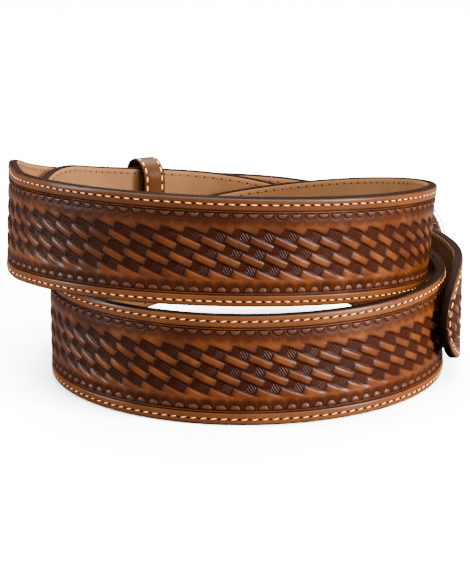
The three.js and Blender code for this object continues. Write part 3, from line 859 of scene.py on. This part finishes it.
def boxAt(middle, size):
    bpy.ops.mesh.primitive_cube_add(size=1, location=middle, scale=size)
    box = bpy.context.object
    bpy.ops.object.transform_apply(location=True, rotation=True, scale=True)
    return box


def flatNarrow(name, length, startRounding, endRounding, startAt, inner, outer, half):
    columns = columnsFor(length, startRounding, endRounding, lambda s: 2.0, 18)
    shares = np.sin(np.linspace(-math.pi / 2, math.pi / 2, 15))
    halves = roundedHalf(columns, length, half, startRounding, endRounding)
    piece, s, w, back = flatBand(name, columns, halves, shares)
    setVertices(piece, np.stack([s + startAt, w, np.where(back, inner, outer)], -1))
    tidy(piece, 0.002)
    return piece


def layDown(piece, startAt, length, half, rounding):
    points = vertices(piece)
    d = edgeDistance(points[:, 0] - startAt, points[:, 1], length, half, *rounding)
    keepLay(piece, np.stack([points[:, 0], points[:, 1], d], -1))
    place(piece, onRoute(*points.T))


narrowStrap = {"half": 9.5, "rounding": 11.0, "bevel": 0.45,
               "stitch": dict(stitching, inset=1.7, pitch=3.2, length=2.2)}
tongue = {"reach": 66.0, "seam": 76.0, "hole": 2.2, "pitch": 12.7, "holes": 5, "first": 13.0}


def makeTongue():
    outer = innerFace - strap["gap"]
    inner = outer - strap["narrow"]
    half, rounding = narrowStrap["half"], (narrowStrap["rounding"],) * 2
    startAt = distanceOf(overlapTurn + strap["startTurn"]) - tongue["reach"]
    length = tongue["reach"] + tongue["seam"]
    piece = flatNarrow("tongue_strap", length, *rounding, startAt, inner, outer, half)
    for k in range(tongue["holes"]):
        s = startAt + tongue["first"] + k * tongue["pitch"]
        cut(piece, barAt(s, 0, (inner + outer) / 2, tongue["hole"], 9, 28, across=False))
    applyModifier(piece, "BEVEL", width=narrowStrap["bevel"], segments=3, limit_method="ANGLE",
                  angle_limit=math.radians(50))
    layDown(piece, startAt, length, half, rounding)
    tidy(piece, 2e-6)
    finishPiece(piece, plainLeather, "plain_leather", "tongue_billet")
    inset = edging["narrowInset"]
    makeEdging("tongue_edge", length, half - edging["lap"], *rounding, startAt, inner + inset, outer - inset,
               edgeLeather, "plain_leather")
    makeStitches("tongue_stitching", paleThread, length, half, *rounding, startAt, inner, -1, narrowStrap["stitch"])


bar = {"radius": 1.5, "eyeWall": 1.2, "slot": 4.2}
eyeRadius = bar["radius"] + strap["gap"] + bar["eyeWall"]
eyeMiddle = outerFace + strap["gap"] + eyeRadius
buckle = {"turn": 860.0, "length": 58.0, "height": 49.4, "corner": 17.0, "floorRoom": 2.0, "plate": 2.0,
          "openingLength": 26.0, "openingRoom": 4.5, "openingCorner": 4.0, "back": 4.6, "stations": 144,
          "ropeRadius": 1.35, "ropePitch": 2.5, "ropeGroove": 0.3, "dome": 0.35}
billet = {"length": 62.0, "stitchStart": 3.0, "stitchShort": 5.0}
barDistance = distanceOf(buckle["turn"]) - (buckle["openingLength"] / 2 - eyeRadius - strap["gap"])
buckleRise = (buckle["floorRoom"] + buckle["height"] / 2
              - float(routePoint(np.array([buckle["turn"]]))[0, 2]))


def makeBuckleBillet():
    inner = outerFace + strap["gap"]
    outer = inner + strap["narrow"]
    half, rounding = narrowStrap["half"], (narrowStrap["rounding"], 0.0)
    startAt = barDistance - billet["length"]
    piece = flatNarrow("buckle_strap", billet["length"], *rounding, startAt, inner, outer, half)
    eye = barAt(barDistance, 0, eyeMiddle, eyeRadius, 2 * half, 40)
    applyModifier(piece, "BOOLEAN", operation="UNION", solver="EXACT", object=eye)
    bpy.data.objects.remove(eye)
    cut(piece, barAt(barDistance, 0, eyeMiddle, bar["radius"] + strap["gap"], 30, 32))
    cut(piece, boxAt((barDistance, 0, eyeMiddle), (8, bar["slot"], 8)))
    applyModifier(piece, "BEVEL", width=0.3, segments=2, limit_method="ANGLE", angle_limit=math.radians(55))
    layDown(piece, startAt, billet["length"], half, rounding)
    tidy(piece, 2e-6)
    finishPiece(piece, plainLeather, "plain_leather", "buckle_billet")
    look = narrowStrap["stitch"]
    reach = billet["length"] - billet["stitchShort"]
    makeStitches("buckle_strap_stitching", paleThread, reach, half, rounding[0], billet["stitchStart"], startAt,
                 outer, 1, look)


def roundedPath(length, height, corner, count):
    x, y = length / 2 - corner, height / 2 - corner
    quarter = np.linspace(0, math.pi / 2, 33)
    arcs = [np.stack([sx * x + corner * np.cos(quarter + a), sy * y + corner * np.sin(quarter + a)], -1)
            for sx, sy, a in ((1, 1, 0), (-1, 1, math.pi / 2), (-1, -1, math.pi), (1, -1, 1.5 * math.pi))]
    path = np.concatenate([[[length / 2, 0]], *arcs, [[length / 2, 0]]])
    run = np.concatenate([[0], np.cumsum(np.linalg.norm(np.diff(path, axis=0), axis=1))])
    where = np.linspace(0, run[-1], count, endpoint=False)
    return np.stack([np.interp(where, run, path[:, k]) for k in range(2)], -1), run[-1]


buckleDistance = distanceOf(buckle["turn"])


def onBuckle(flat, n):
    return onRoute(flat[..., 0] + buckleDistance, flat[..., 1] + buckleRise, n)


def ringShape(name, sections):    # sections are rings of (point, n) running the long way round
    piece, order = ringPiece(name, len(sections[0][0]), len(sections))
    flat = np.stack([p for p, n in sections], 1).reshape(-1, 2)
    n = np.stack([n + 0 * p[:, 0] for p, n in sections], 1).ravel()
    place(piece, onBuckle(flat, n)[order])
    tidy(piece, 2e-6)
    return piece


def makeBuckleFrame():
    b = buckle
    size = b["length"] - 2 * b["ropeRadius"], b["height"] - 2 * b["ropeRadius"], b["corner"] - b["ropeRadius"]
    edge, around = roundedPath(*size, b["stations"])
    opening, _ = roundedPath(b["openingLength"], 2 * narrowStrap["half"] + 2 * b["openingRoom"],
                             b["openingCorner"], b["stations"])
    front, back = b["back"] + b["plate"], b["back"]
    across = [(0, 0), (0.05, .3), (.12, .3), (.16, .12), (.2, .3), (.35, .34), (.5, b["dome"]), (.65, .34),
              (.8, .3), (.84, .12), (.88, .3), (.94, .25), (1, 0)]
    sections = [(edge + (opening - edge) * f, front + h - 0.3) for f, h in across]
    sections += [(opening, back + 0.3), (opening + (edge - opening) * 0.04, back), ((opening + edge) / 2, back),
                 (edge, back)]
    finishPiece(ringShape("buckle_plate", sections), silver, "silver_metal", "buckle_frame", smooth=50)
    strands = int(round(around / b["ropePitch"]))
    line, _ = roundedPath(*size, strands * 8)
    ahead = unit(np.roll(line, -1, axis=0) - np.roll(line, 1, axis=0))
    side = np.stack([ahead[:, 1], -ahead[:, 0]], -1)
    phase = 2 * math.pi * np.arange(len(line)) / 8
    rings = []
    for angle in np.linspace(0, 2 * math.pi, 14, endpoint=False):
        bead = np.abs(np.sin((phase - angle) / 2)) ** 0.7
        radius = b["ropeRadius"] * (1 - b["ropeGroove"] + b["ropeGroove"] * bead)
        rings.append((line + side * (radius * math.cos(angle))[:, None],
                      (front + back) / 2 + radius * math.sin(angle)))
    finishPiece(ringShape("buckle_rope_edge", rings), silverRope, "silver_metal", smooth=70)
    length = 2 * narrowStrap["half"] + 2 * b["openingRoom"] + 3
    rod = barAt(barDistance, buckleRise, eyeMiddle, bar["radius"], length, 24)
    rod.name = rod.data.name = "buckle_bar"
    applyModifier(rod, "BEVEL", width=0.3, segments=2, limit_method="ANGLE", angle_limit=math.radians(50))
    place(rod, onRoute(*vertices(rod).T))
    finishPiece(rod, silver, "silver_metal", smooth=50)


pin = {"radius": 1.3, "width": 3.0, "reach": 8.0, "steps": 28, "sides": 14}


def makePin():
    ring = barAt(barDistance, 0, eyeMiddle, eyeRadius, pin["width"], 32)
    cut(ring, barAt(barDistance, 0, eyeMiddle, bar["radius"] + strap["gap"], pin["width"] + 2, 32))
    applyModifier(ring, "BEVEL", width=0.25, segments=2, limit_method="ANGLE", angle_limit=math.radians(50))
    arm = pin["radius"], buckle["openingLength"] - eyeRadius - strap["gap"] + pin["reach"]
    n = buckle["back"] + buckle["plate"] + strap["gap"] + arm[0]
    bpy.ops.mesh.primitive_uv_sphere_add(segments=pin["sides"], ring_count=pin["steps"], radius=1,
                                         rotation=(0, math.pi / 2, 0))
    rod = bpy.context.object
    bpy.ops.object.transform_apply(location=True, rotation=True, scale=True)
    points = vertices(rod)
    share = (points[:, 0] + 1) / 2
    full = np.sqrt(np.clip(1 - points[:, 0] ** 2, 1e-9, 1))
    body = np.minimum(full * 2.5, 1.0) * (1 - 0.35 * smootherStep((share - 0.55) / 0.45))
    setVertices(rod, np.stack([barDistance + share * arm[1], points[:, 1] / full * body * arm[0],
                               n + points[:, 2] / full * body * arm[0]], -1))
    bpy.ops.object.select_all(action="DESELECT")
    ring.select_set(True)
    rod.select_set(True)
    bpy.context.view_layer.objects.active = ring
    bpy.ops.object.join()
    ring.name = ring.data.name = "buckle_tongue_pin"
    place(ring, onRoute(*vertices(ring).T))
    tidy(ring, 2e-6)
    finishPiece(ring, silver, "silver_metal", "buckle_pin", smooth=60)


def ropeMaterial():               # silver whose grooves hold a dark patina
    material, tree, shader = newMaterial("ropeSilver")
    pointy = tree.nodes.new("ShaderNodeNewGeometry")
    groove = Calc(tree, pointy.outputs["Pointiness"]).ramp(0.47, 0.53)
    colour = blend(tree, groove, (0.05, 0.042, 0.036), (0.72, 0.70, 0.67))
    tree.links.new(colour, shader.inputs["Base Color"])
    shader.inputs["Metallic"].default_value = 1.0
    rough = groove * -0.25 + 0.45 + noise(tree, 300, 3) * 0.08
    tree.links.new(rough.socket, shader.inputs["Roughness"])
    return material


silverRope = ropeMaterial()
makeTongue()
makeBuckleBillet()
makeBuckleFrame()
makePin()
print("narrow straps and buckle made")


# The pale floor and the soft lights round it
studio = {"floor": 14.0, "floorDrop": 0.0004, "white": 0.93, "glossy": 0.03, "bounce": 0.4, "world": 0.16}


def makeFloor():
    bpy.ops.mesh.primitive_grid_add(x_subdivisions=4, y_subdivisions=4, size=studio["floor"],
                                    location=(0, 0, -studio["floorDrop"]))
    floor = bpy.context.object
    floor.name = floor.data.name = "studio_floor"
    material, tree, shader = newMaterial("paleFloor")
    path = tree.nodes.new("ShaderNodeLightPath")    # reflections and bounces see a darker floor
    glossy = Calc(tree, path.outputs["Is Glossy Ray"]) * (studio["glossy"] - 1) + 1
    diffuse = Calc(tree, path.outputs["Is Diffuse Ray"]) * (studio["bounce"] - 1) + 1
    bounce = glossy.run("MINIMUM", diffuse)
    tree.links.new(blend(tree, bounce, (0.0, 0.0, 0.0), (studio["white"],) * 3), shader.inputs["Base Color"])
    shader.inputs["Roughness"].default_value = 0.7
    shader.inputs["Specular IOR Level"].default_value = 0.1
    bump(tree, shader, noise(tree, 60, 2), 0.02, 0.2)
    floor.data.materials.append(material)
    floor.select_set(False)


def areaLight(name, power, size, where, toward):
    data = bpy.data.lights.new(name, "AREA")
    data.shape = "RECTANGLE"
    data.size, data.size_y = size
    data.energy = power
    light = bpy.data.objects.new(name, data)
    bpy.context.scene.collection.objects.link(light)
    way = np.array(toward, float) - np.array(where, float)
    light.location = where
    yaw = math.atan2(way[1], way[0])
    tilt = math.atan2(math.hypot(way[0], way[1]), -way[2])
    light.rotation_euler = (tilt, 0, yaw - math.pi / 2)


def makeWorld():
    world = bpy.context.scene.world or bpy.data.worlds.new("studio")
    bpy.context.scene.world = world
    world.use_nodes = True
    background = world.node_tree.nodes["Background"]
    background.inputs["Color"].default_value = (0.97, 0.98, 1.0, 1)
    background.inputs["Strength"].default_value = studio["world"]


makeFloor()
makeWorld()
areaLight("key", 115, (0.9, 0.7), (0.85, -1.05, 1.05), (0, 0, 0.04))
areaLight("fill", 19, (0.9, 0.7), (-0.8, -1.2, 0.8), (0, 0, 0.04))
areaLight("overhead", 310, (1.6, 1.4), (0.1, 0.15, 1.7), (0, 0, 0.0))
areaLight("rear", 325, (1.8, 0.8), (0.0, 1.3, 1.6), (0, 0.9, 0.0))
areaLight("left_strip", 74, (0.3, 0.7), (-1.1, -0.1, 0.42), (0, 0, 0.05))
areaLight("right_strip", 200, (0.35, 0.7), (1.05, -0.5, 0.40), (0, 0, 0.05))
print("floor and lights made")
